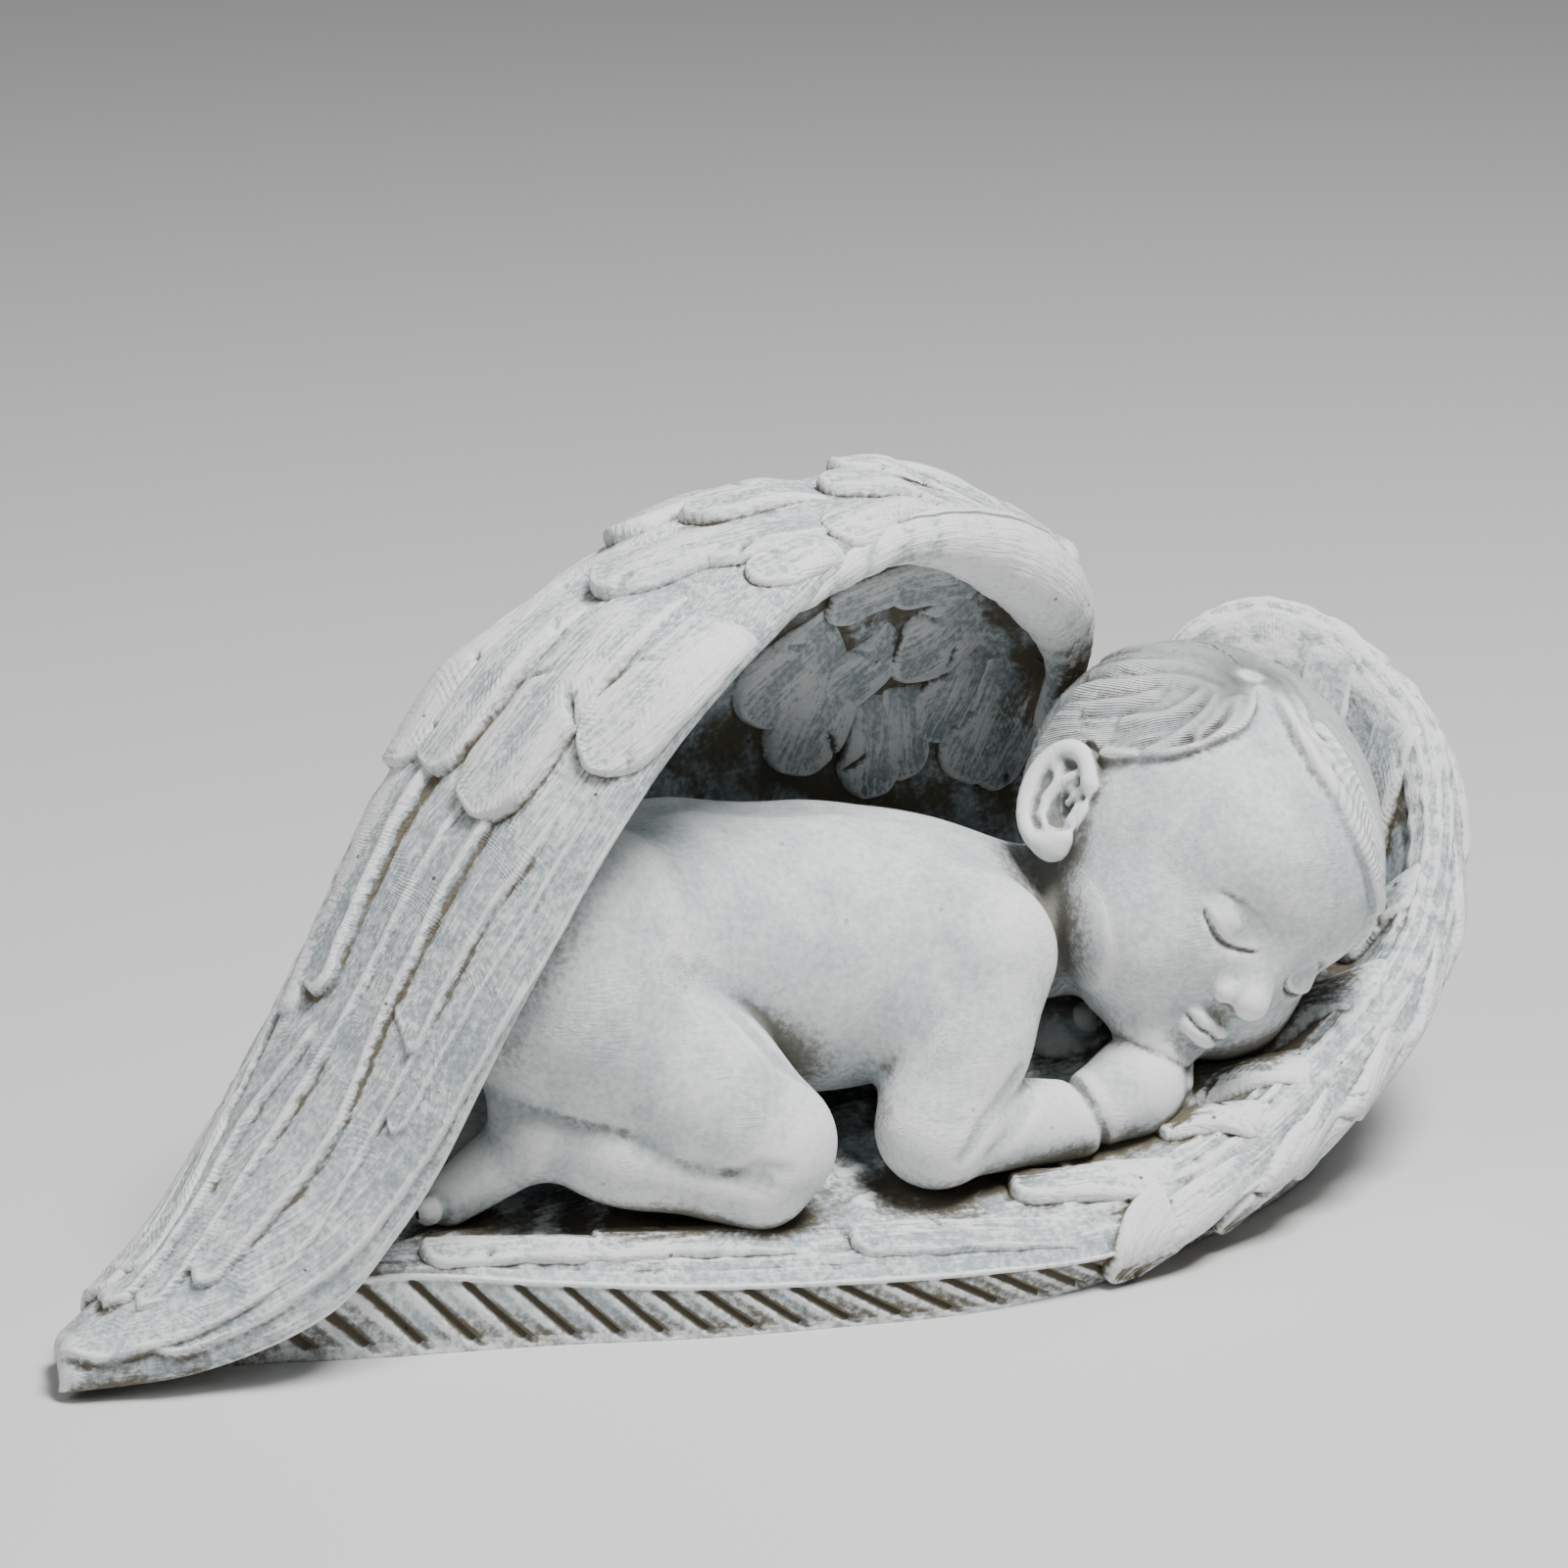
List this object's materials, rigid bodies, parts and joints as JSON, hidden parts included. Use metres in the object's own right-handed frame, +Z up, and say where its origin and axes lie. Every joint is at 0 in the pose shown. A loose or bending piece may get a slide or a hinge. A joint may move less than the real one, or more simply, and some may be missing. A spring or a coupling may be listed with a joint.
{
  "type": "sleeping angel statue",
  "caption": "Cast stone statue of a baby asleep between two feathered wings, one folded under it as a cradle and one arched over it, on a flat underside.",
  "frame": {"origin": "on the ground, under the middle of the statue's box", "axes": "+Z up, +X along the statue from the wing tips to the head end, -Y the front that the baby faces"},
  "size_m": [0.352, 0.1377, 0.1744],
  "materials": {
    "whitewashed_stone": "matte cast stone with a worn white wash, blue-grey in the feathers and an olive-brown patina in the hollows"
  },
  "bodies": {
    "root": {"sleeping_angel": "whitewashed_stone"}
  },
  "joints": []
}
